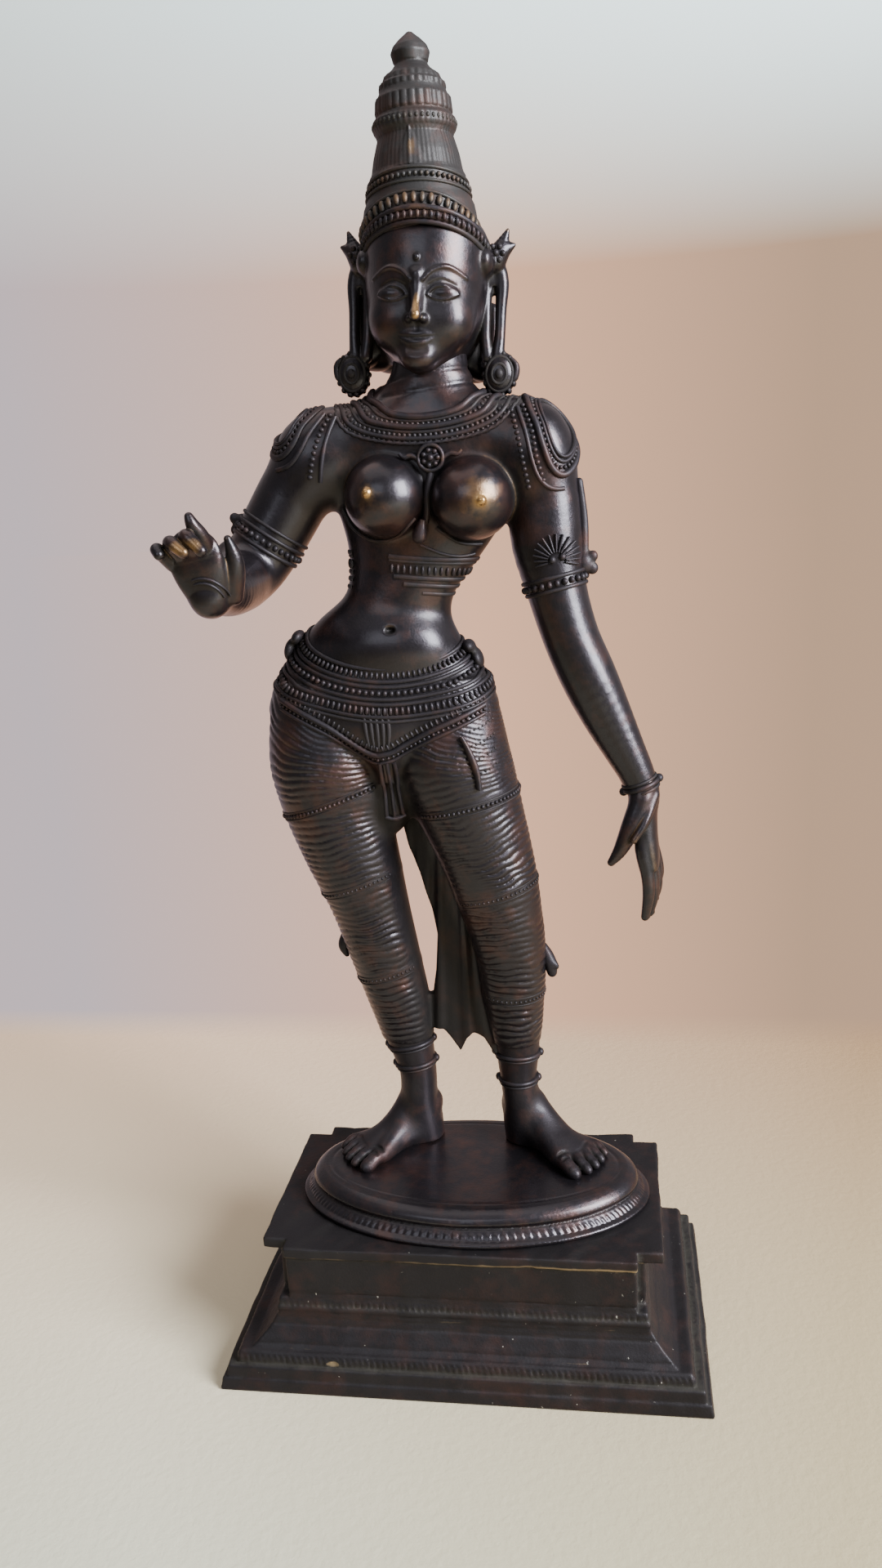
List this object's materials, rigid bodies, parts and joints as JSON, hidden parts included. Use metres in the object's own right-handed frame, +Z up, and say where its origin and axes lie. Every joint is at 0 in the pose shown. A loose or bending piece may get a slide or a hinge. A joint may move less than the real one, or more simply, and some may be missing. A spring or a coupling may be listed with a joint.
{
  "type": "bronze goddess figure on plinth",
  "caption": "Cast bronze goddess standing in a swaying pose on an oval lotus pedestal, one hand raised and one hanging, fixed on a stepped rectangular plinth.",
  "frame": {"origin": "middle of the plinth's underside, on the ground", "axes": "+Z up; the figure faces -Y; +X is towards its hanging left arm"},
  "size_m": [0.15, 0.0997, 0.3806],
  "materials": {
    "bronze_figure": "dark polished bronze patina, worn golden on the high points",
    "bronze_plinth": "dark bronze patina, duller and dusty in the mouldings"
  },
  "bodies": {
    "root": {"goddess_figure": "bronze_figure", "stepped_plinth": "bronze_plinth"}
  },
  "joints": []
}
